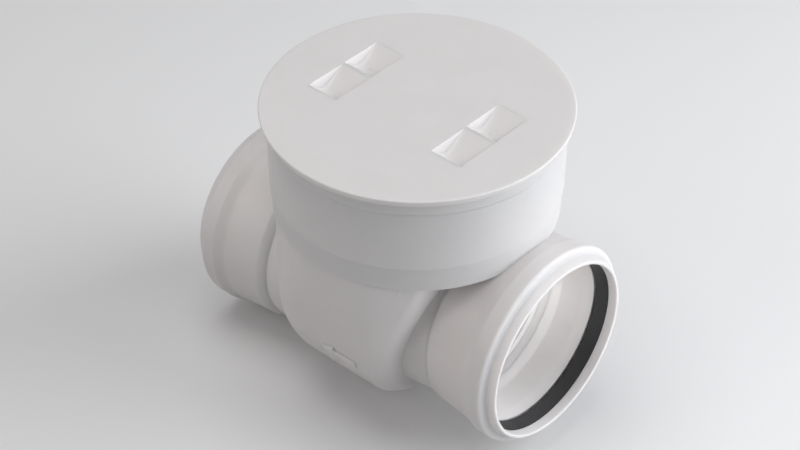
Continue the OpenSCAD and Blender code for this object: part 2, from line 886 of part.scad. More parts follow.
module clamp_screws() {
    color(steel)
    on_seat()
    translate([0, 0, -clamp_t])
        at_clamp_screws() {
            cylinder(r = clamp_screw_r, h = clamp_t + gasket_t + flap_t - 2 * eps);
            translate([0, 0, -clamp_head_h])
                cylinder(r = clamp_head_r, h = clamp_head_h);
        }
}

module hinge_pin() {
    color(steel)
    on_seat()
    translate([hinge_rise, 0, hinge_out])
        rotate([90, 0, 0])
            rotate_extrude()
                polygon([[0, -pin_end_y], [pin_r - pin_chamfer, -pin_end_y], [pin_r, pin_chamfer - pin_end_y],
                    [pin_r, -clip_y - clip_t - hole_gap], [clip_groove_r, -clip_y - clip_t - hole_gap],
                    [clip_groove_r, -clip_y], [pin_r, -clip_y], [pin_r, clip_y],
                    [clip_groove_r, clip_y], [clip_groove_r, clip_y + clip_t + hole_gap],
                    [pin_r, clip_y + clip_t + hole_gap], [pin_r, pin_end_y - pin_chamfer],
                    [pin_r - pin_chamfer, pin_end_y], [0, pin_end_y]]);
}

// Flanged bush in a flap arm, for the side at +Y
module hinge_bush() {
    flange_r = knuckle_r - side_play;
    color(white)
    on_seat()
    translate([hinge_rise, arm_in_y, hinge_out])
        rotate([-90, 0, 0])
            rotate_extrude()
                polygon([[pin_r + run_gap, 0], [bush_r, 0], [bush_r, arm_w], [flange_r, arm_w],
                    [flange_r, arm_w + bush_flange_t], [pin_r + run_gap, arm_w + bush_flange_t]]);
}

module hinge_bush_left() {
    mirror([0, 1, 0])
        hinge_bush();
}

module hinge_bush_right() {
    hinge_bush();
}

// Open retaining ring in the groove at the +Y end of the pin
module pin_clip() {
    mouth_w = clip_groove_r * 1.6;
    color(steel)
    on_seat()
    translate([hinge_rise, clip_y, hinge_out])
        rotate([-90, 0, 0])
        difference() {
            cylinder(r = clip_r, h = clip_t);
            translate([0, 0, -eps])
                cylinder(r = clip_groove_r + hole_gap, h = clip_t + 2 * eps);
            translate([-mouth_w / 2, 0, -eps])
                cube([mouth_w, clip_r + eps, clip_t + 2 * eps]);
        }
}

module pin_clip_left() {
    mirror([0, 1, 0])
        pin_clip();
}

module pin_clip_right() {
    pin_clip();
}

valve_body();
access_chamber();
inlet_socket();
outlet_socket();
inlet_seal();
outlet_seal();
lid();
lid_seal();
seat_frame();
frame_seal();
frame_screws();
flap();
flap_gasket();
gasket_clamp();
clamp_screws();
hinge_pin();
hinge_bush_left();
hinge_bush_right();
pin_clip_left();
pin_clip_right();
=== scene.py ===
"""Finishes, small parts and studio for an in-line backwater valve with a push-in access lid."""

import json
import math

import bpy
from mathutils import Matrix, Vector


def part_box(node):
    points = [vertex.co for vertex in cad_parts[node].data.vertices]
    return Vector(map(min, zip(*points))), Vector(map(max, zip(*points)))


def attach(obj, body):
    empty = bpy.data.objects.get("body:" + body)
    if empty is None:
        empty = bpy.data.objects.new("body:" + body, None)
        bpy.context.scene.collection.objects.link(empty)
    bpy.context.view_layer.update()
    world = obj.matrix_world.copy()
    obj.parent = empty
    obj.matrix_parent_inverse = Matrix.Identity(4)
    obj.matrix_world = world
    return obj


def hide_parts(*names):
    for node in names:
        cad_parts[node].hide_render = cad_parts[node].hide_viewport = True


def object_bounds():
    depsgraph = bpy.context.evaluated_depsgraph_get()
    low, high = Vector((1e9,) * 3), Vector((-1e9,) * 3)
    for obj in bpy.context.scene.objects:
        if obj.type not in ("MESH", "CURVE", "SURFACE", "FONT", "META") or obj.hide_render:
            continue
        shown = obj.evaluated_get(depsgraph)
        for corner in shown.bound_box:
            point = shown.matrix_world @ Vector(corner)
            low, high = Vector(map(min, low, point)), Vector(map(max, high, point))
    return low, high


bl_info = {
    "name": "Backwater Valve",
    "version": (1, 0, 0),
    "blender": (4, 5, 0),
    "location": "3D View > Sidebar > Valve",
    "description": "Dresses an in-line backwater valve and sets it in a plain studio",
    "category": "Object",
}

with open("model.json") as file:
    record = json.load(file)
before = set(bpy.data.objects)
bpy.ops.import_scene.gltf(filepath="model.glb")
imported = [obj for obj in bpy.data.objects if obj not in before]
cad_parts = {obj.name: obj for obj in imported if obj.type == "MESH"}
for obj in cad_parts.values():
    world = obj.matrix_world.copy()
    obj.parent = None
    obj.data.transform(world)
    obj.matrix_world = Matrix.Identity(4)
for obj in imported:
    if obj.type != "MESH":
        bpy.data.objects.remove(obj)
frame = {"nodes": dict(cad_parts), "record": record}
cad_low, cad_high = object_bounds()
NODES = frame["nodes"]
MOUNTS = {mount["name"]: mount for mount in frame["record"]["mounts"]}

MM = 0.001
HOUSING = "housing"
FLAP = "flap"
LID = "lid"

lid_low, lid_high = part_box("lid")
chamber_low, chamber_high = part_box("access_chamber")
AXIS_X = (lid_low.x + lid_high.x) / 2


def length(name, description, millimetres):
    """Setting for a size."""
    return bpy.props.FloatProperty(
        name=name, description=description, unit="LENGTH", min=0, precision=5,
        default=millimetres * MM)


def offset(name, description, millimetres):
    """Setting for a place on either side of a middle."""
    return bpy.props.FloatProperty(
        name=name, description=description, unit="LENGTH", precision=5,
        default=millimetres * MM)


def swing(name, description, degrees):
    """Setting for an angle."""
    return bpy.props.FloatProperty(
        name=name, description=description, subtype="ANGLE", unit="ROTATION",
        default=math.radians(degrees))


def portion(name, description, default):
    """Setting for a share between none and all."""
    return bpy.props.FloatProperty(
        name=name, description=description, subtype="FACTOR", min=0, max=1, default=default)


def colour(name, description, default):
    """Setting for a colour."""
    return bpy.props.FloatVectorProperty(
        name=name, description=description, subtype="COLOR", size=3, min=0, max=1, default=default)


def power(name, description, default):
    """Setting for a lamp's power."""
    return bpy.props.FloatProperty(
        name=name, description=description, unit="POWER", min=0, default=default)


class ValveFinishes(bpy.types.PropertyGroup):
    """Colours and surface of the valve's materials."""

    white: colour("White plastic", "Colour of the moulded housing and lid", (0.80, 0.775, 0.765))
    white_roughness: portion("White roughness", "Middle roughness of the white plastic", 0.38)
    white_glow: portion("White glow", "Share of light that scatters inside the white plastic", 0.45)
    glow_depth: length("Glow depth", "How far light scatters inside the white plastic", 6.0)
    grey: colour("Grey plastic", "Colour of the flap and its seat", (0.70, 0.695, 0.69))
    bush: colour("Bush plastic", "Colour of the hinge bushes", (0.74, 0.72, 0.66))
    rubber: colour("Rubber", "Colour of the seals and the flap gasket", (0.028, 0.028, 0.029))
    steel: colour("Steel", "Colour of the screws, pin and clips", (0.56, 0.57, 0.58))


class ValveSockets(bpy.types.PropertyGroup):
    """Section of the two pipe sockets; distances run from the pipe stop to the mouth."""

    bore_r: length("Bore", "Radius of the pipe bore", 55.3)
    bore_l: length("Bore length", "Length of the pipe bore", 22.0)
    stop_r: length("Pipe stop", "Inner radius of the pipe stop", 53.05)
    stop_l: length("Pipe stop length", "Length of the cone that the pipe stops on", 6.0)
    lead_r: length("Lead", "Radius where the bore opens to the seal groove", 56.1)
    groove_at: length("Groove", "Distance of the seal groove", 29.5)
    groove_w: length("Groove width", "Width of the seal groove", 10.4)
    groove_r: length("Groove radius", "Outer radius of the seal groove", 62.6)
    mouth_r: length("Mouth", "Inner radius of the mouth", 57.8)
    mouth_at: length("Mouth distance", "Distance of the mouth's rim", 46.5)
    rim_r: length("Rim", "Outer radius of the mouth's rim", 60.0)
    lip_r: length("Lip", "Outer radius of the lip where it leaves the ring bulge", 61.6)
    lip_at: length("Lip distance", "Distance where the lip leaves the ring bulge", 40.7)
    bulge_r: length("Bulge", "Outer radius of the ring bulge", 66.4)
    bulge_front: length("Bulge front", "Distance of the ring bulge's front edge", 38.6)
    bulge_back: length("Bulge back", "Distance of the ring bulge's back edge", 28.5)
    shoulder_at: length("Shoulder", "Distance where the sleeve starts to rise to the bulge", 21.5)
    sleeve_front_r: length("Sleeve front", "Outer radius of the sleeve at its shoulder", 63.5)
    sleeve_r: length("Sleeve", "Outer radius of the sleeve at its skirt", 61.0)
    skirt_l: length("Skirt", "Length of the skirt behind the pipe stop", 6.0)
    neck_r: length("Neck", "Outer radius of the body's neck under the skirt", 58.5)
    inlet_taper: length("Inlet taper", "Length over which the inlet skirt runs out", 3.0)
    outlet_taper: length("Outlet taper", "Length over which the outlet skirt runs out", 6.0)


class ValveChamber(bpy.types.PropertyGroup):
    """Outside of the access chamber."""

    foot_r: length("Foot", "Radius of the band at the chamber's foot", 88.8)
    band_h: length("Band", "Height of the band at the chamber's foot", 17.0)
    wall_foot_r: length("Wall foot", "Radius of the wall over the foot band", 89.9)
    wall_top_r: length("Wall top", "Radius of the wall under the collar", 90.5)
    collar_r: length("Collar", "Radius of the collar under the lid", 92.4)
    collar_h: length("Collar height", "Height of the collar under the lid", 7.4)
    skin: length("Skin", "Depth of the outer skin in the chamber's wall", 1.2)


class ValveGrips(bpy.types.PropertyGroup):
    """Dished floors of the lid's grip pockets."""

    pocket_x: length("Pocket distance", "Distance of a pocket's middle from the lid's", 48.8)
    pocket_w: length("Pocket width", "Width of a pocket along the pipe", 22.6)
    pocket_l: length("Pocket length", "Length of a pocket across the pipe", 60.6)
    web: length("Web", "Thickness of the web between a pocket's two cells", 2.3)
    dish: length("Dish", "Depth of a cell's dished floor", 6.5)
    valley_y: offset("Valley across", "Place of a cell's deepest line across the pipe", -5.5)
    ridge_h: length("Ridge height", "Height of the ridge in the far cells", 1.2)
    ridge_w: length("Ridge rise", "Width of the ridge's rising side in the far cells", 1.2)
    ridge_drop: length("Ridge fall", "Width of the ridge's falling side in the far cells", 3.5)
    ridge_start: offset("Ridge start", "Place along the pipe where the ridge starts", -2.0)
    ridge_y: offset("Ridge across", "Place of the ridge's crest across the pipe", -2.6)
    gate_r: length("Gate", "Radius of the moulding's gate mark in the near cells", 0.9)
    gate_x: offset("Gate along", "Place of the gate mark along the pipe", -2.4)
    gate_y: offset("Gate across", "Place of the gate mark across the pipe", 6.0)


class ValveArrow(bpy.types.PropertyGroup):
    """Flow arrow on the trough's side."""

    arrow_l: length("Arrow", "Length of the flow arrow", 29.4)
    head_l: length("Head length", "Length of the arrow's head", 11.8)
    head_w: length("Head width", "Width of the arrow's head", 12.4)
    shaft_w: length("Shaft", "Width of the arrow's shaft", 5.0)
    along: length("Arrow place", "Distance of the arrow from the chamber's axis", 5.0)
    centre_z: length("Arrow centre", "Height of the trough's round side", 7.6)
    reach: length("Arrow reach", "Distance of the arrow's face from the trough's middle", 82.3)
    sunk: length("Arrow root", "Depth of the arrow's root in the wall", 0.8)
    proud: length("Arrow relief", "Rise of the arrow over the moulded one", 0.6)
    bevel: length("Arrow bevel", "Bevel along the arrow's edges", 1.0)
    drop: swing("Arrow drop", "Turn of the arrow below the level of the trough's round side", 18)


class ValveHardware(bpy.types.PropertyGroup):
    """Screws and retaining rings."""

    pitch: length("Thread pitch", "Pitch of the screws' thread", 1.6)
    thread: length("Thread depth", "Depth of the screws' thread", 0.35)
    frame_head_h: length("Frame screw head", "Height of the frame screws' heads", 3.0)
    frame_shank_r: length("Frame screw", "Radius of the frame screws' thread", 2.4)
    clamp_head_h: length("Clamp screw head", "Height of the clamp screws' heads", 2.4)
    clamp_shank_r: length("Clamp screw", "Radius of the clamp screws' thread", 2.0)
    screw_reach: length("Screw reach", "Distance within which points belong to one screw", 18.0)
    clip_inner_r: length("Clip bore", "Inner radius of the retaining rings", 3.2)
    clip_gap: swing("Clip gap", "Half of the angle that a retaining ring leaves open", 32)


class ValveStudio(bpy.types.PropertyGroup):
    """Floor, lamps and camera."""

    floor: colour("Floor", "Colour of the studio floor", (0.90, 0.90, 0.90))
    floor_bounce: colour(
        "Floor bounce", "Colour that the floor throws back on the valve", (0.47, 0.47, 0.47))
    world: bpy.props.FloatProperty(
        name="Room light", description="Strength of the even light from all round",
        min=0, max=2, default=0.15)
    key: power("Key lamp", "Power of the large lamp behind the inlet", 22.3)
    side: power("Side lamp", "Power of the lamp in line with the inlet socket", 2.2)
    bore: power("Bore lamp", "Power of the narrow lamp into the inlet socket", 42.0)
    top: power("Top lamp", "Power of the lamp over the lid", 8.6)
    fill: power("Fill lamp", "Power of the lamp on the shaded side", 4.5)
    cool: colour("Cool light", "Tint of the key and side lamps", (0.94, 0.96, 1.0))
    warm: colour("Warm light", "Tint of the fill lamp", (1.0, 0.96, 0.95))
    lens: bpy.props.FloatProperty(
        name="Lens", description="Focal length on a 36 mm wide sensor, in millimetres",
        subtype="DISTANCE_CAMERA", min=20, max=300, default=98.56)


NOISE_LOW = 0.3
NOISE_HIGH = 0.7
EVEN = (1.0, 1.0, 1.0)


def new_material(name):
    """Empty node material, with its nodes and links."""
    material = bpy.data.materials.new(name)
    material.use_nodes = True
    material.node_tree.nodes.clear()
    return material, material.node_tree.nodes, material.node_tree.links


def noise(nodes, links, coords, scale, detail=2.0, stretch=EVEN):
    """Cloudy values over a surface."""
    mapping = nodes.new("ShaderNodeMapping")
    mapping.inputs["Scale"].default_value = stretch
    texture = nodes.new("ShaderNodeTexNoise")
    texture.inputs["Scale"].default_value = scale
    texture.inputs["Detail"].default_value = detail
    links.new(coords.outputs["Object"], mapping.inputs["Vector"])
    links.new(mapping.outputs["Vector"], texture.inputs["Vector"])
    return texture.outputs["Fac"]


def spread(nodes, links, value, low, high):
    """Noise spread from a low to a high value."""
    ranged = nodes.new("ShaderNodeMapRange")
    ranged.inputs["From Min"].default_value = NOISE_LOW
    ranged.inputs["From Max"].default_value = NOISE_HIGH
    ranged.inputs["To Min"].default_value = low
    ranged.inputs["To Max"].default_value = high
    links.new(value, ranged.inputs["Value"])
    return ranged.outputs["Result"]


def tint(nodes, links, value, base, depth):
    """Noise as a colour, a share darker to a share lighter than its base."""
    ramp = nodes.new("ShaderNodeValToRGB")
    ramp.color_ramp.elements[0].position = NOISE_LOW
    ramp.color_ramp.elements[1].position = NOISE_HIGH
    ramp.color_ramp.elements[0].color = (*[c * (1 - depth) for c in base], 1)
    ramp.color_ramp.elements[1].color = (*[min(1.0, c * (1 + depth)) for c in base], 1)
    links.new(value, ramp.inputs["Fac"])
    return ramp.outputs["Color"]


def bump(nodes, links, height, strength, distance):
    """Fine relief from noise."""
    node = nodes.new("ShaderNodeBump")
    node.inputs["Strength"].default_value = strength
    node.inputs["Distance"].default_value = distance
    links.new(height, node.inputs["Height"])
    return node.outputs["Normal"]


def moulded(name, base, roughness, mottle, grain, stretch=EVEN, metallic=0.0,
            glow=0.0, glow_depth=0.0):
    """Moulded or drawn surface: cloudy tint, uneven gloss and a fine grain."""
    cloud_scale, cloud_detail = 38.0, 3.0
    sheen_scale, sheen_spread = 120.0, 0.05
    grain_strength, grain_depth = 0.12, 0.00006
    glow_reach = (1.0, 0.9, 0.85)
    material, nodes, links = new_material(name)
    coords = nodes.new("ShaderNodeTexCoord")
    cloud = noise(nodes, links, coords, cloud_scale, cloud_detail)
    sheen = noise(nodes, links, coords, sheen_scale, stretch=stretch)
    skin = noise(nodes, links, coords, grain, stretch=stretch)
    shader = nodes.new("ShaderNodeBsdfPrincipled")
    shader.inputs["Metallic"].default_value = metallic
    shader.inputs["Subsurface Weight"].default_value = glow
    shader.inputs["Subsurface Radius"].default_value = glow_reach
    shader.inputs["Subsurface Scale"].default_value = glow_depth
    links.new(tint(nodes, links, cloud, base, mottle), shader.inputs["Base Color"])
    links.new(spread(nodes, links, sheen, roughness - sheen_spread, roughness + sheen_spread),
              shader.inputs["Roughness"])
    links.new(bump(nodes, links, skin, grain_strength, grain_depth), shader.inputs["Normal"])
    output = nodes.new("ShaderNodeOutputMaterial")
    links.new(shader.outputs["BSDF"], output.inputs["Surface"])
    return material


def finish_values(look):
    """What each finish is moulded from; thin and sunk pieces take the white without its glow."""
    white = {
        "base": look.white, "roughness": look.white_roughness, "mottle": 0.012, "grain": 1400.0}
    return {
        "white_pvc": {**white, "glow": look.white_glow, "glow_depth": look.glow_depth},
        "white_thin": white,
        "grey_plastic": {"base": look.grey, "roughness": 0.46, "mottle": 0.03, "grain": 1100.0},
        "bush_plastic": {"base": look.bush, "roughness": 0.4, "mottle": 0.02, "grain": 900.0},
        "black_rubber": {"base": look.rubber, "roughness": 0.52, "mottle": 0.12, "grain": 700.0},
        "steel": {"base": look.steel, "roughness": 0.3, "mottle": 0.05, "grain": 600.0,
                  "stretch": (1.0, 0.08, 1.0), "metallic": 1.0},
    }


FINISHES = {}


def finish(name):
    """The named finish, made once from the scene's settings."""
    if name not in FINISHES:
        values = finish_values(bpy.context.scene.valve_finishes)
        FINISHES[name] = moulded(name, **values[name])
    return FINISHES[name]


def coat(names, material):
    """Gives nodes a finish."""
    for name in names:
        mesh = NODES[name].data
        mesh.materials.clear()
        mesh.materials.append(finish(material))


class Shape:
    """Points, normals and faces of one piece while it is being made."""

    def __init__(self):
        self.points = []
        self.normals = []
        self.faces = []

    def add(self, points, normals, faces):
        first = len(self.points)
        self.points += points
        self.normals += normals
        self.faces += [tuple(first + corner for corner in face) for face in faces]

    def piece(self, name, body, slot, replaced=(), look=None):
        """Puts the shape in the scene, in the slot's finish or in another look."""
        mesh = bpy.data.meshes.new(name)
        mesh.from_pydata(self.points, [], self.faces)
        mesh.materials.append(finish(look or slot))
        mesh.shade_smooth()
        mesh.normals_split_custom_set_from_vertices(self.normals)
        made = bpy.data.objects.new(name, mesh)
        bpy.context.scene.collection.objects.link(made)
        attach(made, body)
        if replaced:
            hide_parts(*replaced)


def rounded(corners, steps=7):
    """Closed outline, anticlockwise, as points and normals with an arc at each (x, y, radius)."""
    outline = []
    for place, (x, y, radius) in enumerate(corners):
        here = Vector((x, y))
        before = Vector(corners[place - 1][:2]) - here
        after = Vector(corners[(place + 1) % len(corners)][:2]) - here
        half = before.angle(after) / 2
        turn = before.y * after.x - before.x * after.y
        outward = 1 if turn > 0 else -1
        cut = radius / math.tan(half)
        start = here + before.normalized() * cut
        end = here + after.normalized() * cut
        bisector = (before.normalized() + after.normalized()).normalized()
        middle = here + bisector * radius / math.sin(half)
        first = (start - middle).normalized()
        last = (end - middle).normalized()
        for step in range(steps + 1):
            spoke = first.slerp(last, step / steps)
            outline.append((middle + spoke * radius, spoke * outward))
    return outline


def lathe(shape, corners, place, segments=168):
    """Turns a rounded section of (radius, height, edge radius) about the placed Z axis."""
    outline = rounded(corners)
    count = len(outline)
    turned = place.to_3x3()
    points = []
    normals = []
    for segment in range(segments):
        angle = math.tau * segment / segments
        c, s = math.cos(angle), math.sin(angle)
        for point, normal in outline:
            points.append(place @ Vector((point.x * c, point.x * s, point.y)))
            normals.append(turned @ Vector((normal.x * c, normal.x * s, normal.y)))
    faces = []
    for segment in range(segments):
        this = segment * count
        after = (segment + 1) % segments * count
        for i in range(count):
            j = (i + 1) % count
            faces.append((this + i, after + i, after + j, this + j))
    shape.add(points, normals, faces)


def facing(origin, direction):
    """Place at a point with Z along a direction."""
    turn = Vector((0, 0, 1)).rotation_difference(Vector(direction))
    return Matrix.Translation(origin) @ turn.to_matrix().to_4x4()


def socket_section(size, taper):
    """Section of a pipe socket with soft edges; its skirt runs out into the neck."""
    sunk = 0.05 * MM
    crisp = 0.02 * MM
    edge = 0.25 * MM
    stop_edge = 6.0 * MM
    stop_root = 1.5 * MM
    skirt_root = 1.0 * MM
    skirt_proud = 0.4 * MM
    skirt_flat = 0.2 * taper
    skirt_edge = 0.8 * taper
    shoulder_edge = 12.0 * MM
    bulge_back_edge = 5.0 * MM
    bulge_front_edge = 2.2 * MM
    lip_edge = 1.4 * MM
    rim_edge = 1.0 * MM
    lead_edge = 4.0 * MM
    groove_end = size.groove_at + size.groove_w
    skirt_at = -size.skirt_l - taper
    return [
        (size.bore_r, size.stop_l, stop_edge),
        (size.stop_r, -sunk, sunk),
        (size.neck_r - sunk, -stop_root, edge),
        (size.neck_r - sunk, skirt_at - skirt_root, crisp),
        (size.neck_r + skirt_proud, skirt_at + skirt_flat, skirt_edge),
        (size.sleeve_r, -size.skirt_l, skirt_edge),
        (size.sleeve_front_r, size.shoulder_at, shoulder_edge),
        (size.bulge_r, size.bulge_back, bulge_back_edge),
        (size.bulge_r, size.bulge_front, bulge_front_edge),
        (size.lip_r, size.lip_at, lip_edge),
        (size.rim_r, size.mouth_at, rim_edge),
        (size.mouth_r, size.mouth_at, rim_edge),
        (size.mouth_r, groove_end, edge),
        (size.groove_r, groove_end, edge),
        (size.groove_r, size.groove_at, edge),
        (size.lead_r, size.groove_at, edge),
        (size.bore_r, size.bore_l, lead_edge),
    ]


class VALVE_OT_make_sockets(bpy.types.Operator):
    """Turns the two pipe sockets with softly rounded sleeves, bulges and rims"""

    bl_idname = "valve.make_sockets"
    bl_label = "Make sockets"

    def execute(self, context):
        size = context.scene.valve_sockets
        tapers = {"inlet_socket": size.inlet_taper, "outlet_socket": size.outlet_taper}
        for node, taper in tapers.items():
            mount = MOUNTS[node]
            shape = Shape()
            lathe(shape, socket_section(size, taper), facing(mount["pos_m"], mount["axis"]))
            shape.piece(node + "_shell", HOUSING, "white_pvc", (node,))
        return {"FINISHED"}


class VALVE_OT_make_chamber_skin(bpy.types.Operator):
    """Turns the chamber's outer skin with its collar and its coved foot band"""

    bl_idname = "valve.make_chamber_skin"
    bl_label = "Make chamber skin"

    def execute(self, context):
        size = context.scene.valve_chamber
        under_lid = 0.05 * MM
        raised = 0.2 * MM
        crisp = 0.1 * MM
        foot_edge = 0.9 * MM
        cove_edge = 70.0 * MM
        step_in = 0.75 * MM
        step_down = 0.3 * MM
        step_edge = 0.2 * MM
        wall_edge = 0.4 * MM
        collar_root = 2.0 * MM
        root_edge = 2.5 * MM
        collar_edge = 1.2 * MM
        top_edge = 0.4 * MM
        foot = chamber_low.z
        top = chamber_high.z - under_lid
        band = foot + size.band_h
        collar = top - size.collar_h
        shape = Shape()
        lathe(shape, [
            (size.foot_r - size.skin, foot + raised, crisp),
            (size.foot_r, foot + raised, foot_edge),
            (size.foot_r, foot + size.band_h / 2, cove_edge),
            (size.wall_foot_r - step_in, band - step_down, step_edge),
            (size.wall_foot_r, band + raised, wall_edge),
            (size.wall_top_r, collar - collar_root, root_edge),
            (size.collar_r, collar, collar_edge),
            (size.collar_r, top, top_edge),
            (size.collar_r - size.skin, top, crisp),
            (size.collar_r - size.skin, collar, crisp),
            (size.wall_top_r - size.skin, collar - collar_root, crisp),
            (size.foot_r + raised - size.skin, band, crisp),
        ], Matrix.Translation((AXIS_X, 0.0, 0.0)))
        shape.piece("chamber_skin", HOUSING, "white_pvc")
        return {"FINISHED"}


def dished_floor(size, gated):
    """Height of a grip cell's scooped floor, as a function of the place in the cell."""
    span = (size.pocket_l - size.web) / 2
    valley = 0.15
    valley_rise = math.hypot(1.0, valley) - valley
    wall_lean = 0.51
    fillet = 2.5 * MM
    fillet_rise = 0.3
    ledge = 0.04 * MM
    gate_rise = 0.1
    ridge_end = 0.6 * MM

    def gate(x, y):
        off = min(1.0, math.hypot(x - size.gate_x, y - size.gate_y) / size.gate_r)
        return gate_rise * size.gate_r * (1 + math.cos(math.pi * off))

    def ridge(x, y):
        side = y - size.ridge_y
        fall = size.ridge_w if side > 0 else size.ridge_drop
        end = min(1.0, max(0.0, (x - size.ridge_start) / ridge_end))
        return size.ridge_h * max(0.0, 1 - abs(side) / fall) * end

    mark = gate if gated else ridge

    def level(x, y):
        run = span / 2 - size.valley_y if y > size.valley_y else span / 2 + size.valley_y
        share = (y - size.valley_y) / run
        scoop = size.dish * (1 - (math.hypot(share, valley) - valley) / valley_rise)
        wall = size.pocket_w / 2 - wall_lean * scoop
        near = max(0.0, (abs(x) - wall + fillet) / fillet)
        raised = fillet_rise * fillet * near ** 2 * scoop / size.dish
        return mark(x, y) - ledge - max(0.0, scoop - raised)

    return level


FINE_STEP = 0.15 * MM


def stations(extent, count, mark, reach):
    """Places across an extent, evenly spread and closer together round a mark."""
    digits = 7
    steps = int(reach / FINE_STEP)
    even = {round(extent * (k / count - 0.5), digits) for k in range(count + 1)}
    fine = {round(mark + FINE_STEP * k, digits) for k in range(-steps, steps + 1)}
    return sorted(even | fine)


def floor_block(shape, middle, xs, ys, level, base):
    """Closed block whose top has a given level at each place of a grid, with a flat bottom."""
    step = 0.01 * MM
    grid = [(x, y) for y in ys for x in xs]
    tops = [middle + Vector((x, y, level(x, y))) for x, y in grid]
    slopes = [Vector(((level(x - step, y) - level(x + step, y)) / (2 * step),
                      (level(x, y - step) - level(x, y + step)) / (2 * step), 1)).normalized()
              for x, y in grid]
    row = len(xs)
    last = len(ys) - 1
    faces = [(j * row + i, j * row + i + 1, (j + 1) * row + i + 1, (j + 1) * row + i)
             for j in range(last) for i in range(row - 1)]
    rim = list(range(row))
    rim += [j * row + row - 1 for j in range(1, last + 1)]
    rim += [last * row + i for i in range(row - 2, -1, -1)]
    rim += [j * row for j in range(last - 1, 0, -1)]
    lows = [Vector((tops[i].x, tops[i].y, middle.z + base)) for i in rim]
    first = len(tops)
    for k in range(len(rim)):
        after = (k + 1) % len(rim)
        faces.append((rim[k], first + k, first + after, rim[after]))
    faces.append(tuple(first + k for k in range(len(rim) - 1, -1, -1)))
    shape.add(tops + lows, slopes + [Vector((0, 0, -1))] * len(lows), faces)


def plate(shape, corners, place, thickness, bevel):
    """Plate with a rounded outline on the placed plane, its top edges bevelled."""
    outline = rounded(corners)
    count = len(outline)
    turned = place.to_3x3()
    up = turned @ Vector((0, 0, 1))
    rings = ((0.0, 0.0, 0.0), (thickness - bevel, 0.0, 0.0), (thickness - bevel, 0.0, 0.5),
             (thickness, bevel, 0.5), (thickness, bevel, 1.0))
    points = []
    normals = []
    for height, inset, lift in rings:
        for point, normal in outline:
            edge = point - normal * inset
            points.append(place @ Vector((edge.x, edge.y, height)))
            side = turned @ Vector((normal.x, normal.y, 0))
            normals.append(side.lerp(up, lift).normalized())
    faces = []
    for ring in range(len(rings) - 1):
        row, above = ring * count, (ring + 1) * count
        for i in range(count):
            j = (i + 1) % count
            faces.append((row + i, row + j, above + j, above + i))
    top = (len(rings) - 1) * count
    faces.append(tuple(top + i for i in range(count)))
    shape.add(points, normals, faces)
    base = [place @ Vector((point.x, point.y, 0)) for point, _ in outline]
    shape.add(base, [-up] * count, [tuple(range(count - 1, -1, -1))])


class VALVE_OT_make_grip_floors(bpy.types.Operator):
    """Lays the dished floors with their gate marks and ridges in the lid's grip cells"""

    bl_idname = "valve.make_grip_floors"
    bl_label = "Make grip floors"

    def execute(self, context):
        size = context.scene.valve_grips
        columns, rows = 36, 52
        ridge_reach = 0.75 * MM
        under = 1.5 * MM
        gate_reach = size.gate_r + FINE_STEP
        span = (size.pocket_l - size.web) / 2
        for end, end_name in ((-1, "outlet"), (1, "inlet")):
            for side, side_name in ((-1, "near"), (1, "far")):
                gated = side < 0
                if gated:
                    xs = stations(size.pocket_w, columns, size.gate_x, gate_reach)
                    ys = stations(span, rows, size.gate_y, gate_reach)
                else:
                    xs = stations(size.pocket_w, columns, size.ridge_start, ridge_reach)
                    ys = stations(span, rows, size.ridge_y, size.ridge_drop)
                middle = Vector((AXIS_X + end * size.pocket_x,
                                 side * (size.pocket_l + size.web) / 4, lid_high.z))
                shape = Shape()
                floor_block(shape, middle, xs, ys, dished_floor(size, gated), -size.dish - under)
                shape.piece(f"grip_floor_{end_name}_{side_name}", LID, "white_pvc",
                            look="white_thin")
        return {"FINISHED"}


class VALVE_OT_make_arrow(bpy.types.Operator):
    """Lays the bevelled flow arrow on the trough's side"""

    bl_idname = "valve.make_arrow"
    bl_label = "Make arrow"

    def execute(self, context):
        size = context.scene.valve_arrow
        tip = -size.arrow_l / 2
        barb = tip + size.head_l
        head = size.head_w / 2
        shaft = size.shaft_w / 2
        soft = 1.1 * MM
        crease = 0.4 * MM
        corners = [
            (tip, 0.0, soft),
            (barb, -head, soft),
            (barb, -shaft, crease),
            (-tip, -shaft, soft),
            (-tip, shaft, soft),
            (barb, shaft, crease),
            (barb, head, soft),
        ]
        place = (Matrix.Translation((AXIS_X + size.along, 0.0, size.centre_z))
                 @ Matrix.Rotation(math.pi / 2 + size.drop, 4, "X")
                 @ Matrix.Translation((0.0, 0.0, size.reach - size.sunk)))
        shape = Shape()
        plate(shape, corners, place, size.sunk + size.proud, size.bevel)
        shape.piece("flow_arrow", HOUSING, "white_pvc", look="white_thin")
        return {"FINISHED"}


def screw_places(node, axis, reach):
    """Foot point, length and head radius of each screw of a node, along a common axis."""
    groups = []
    for vertex in NODES[node].data.vertices:
        for group in groups:
            if (vertex.co - group[0]).length < reach:
                group.append(vertex.co.copy())
                break
        else:
            groups.append([vertex.co.copy()])
    side = axis.orthogonal().normalized()
    other = axis.cross(side)
    places = []
    for group in groups:
        spans = []
        for way in (side, other, axis):
            reaches = [point.dot(way) for point in group]
            spans.append((min(reaches), max(reaches)))
        (left, right), (back, front), (low, high) = spans
        foot = side * (left + right) / 2 + other * (back + front) / 2 + axis * low
        places.append((foot, high - low, (right - left) / 2))
    return places


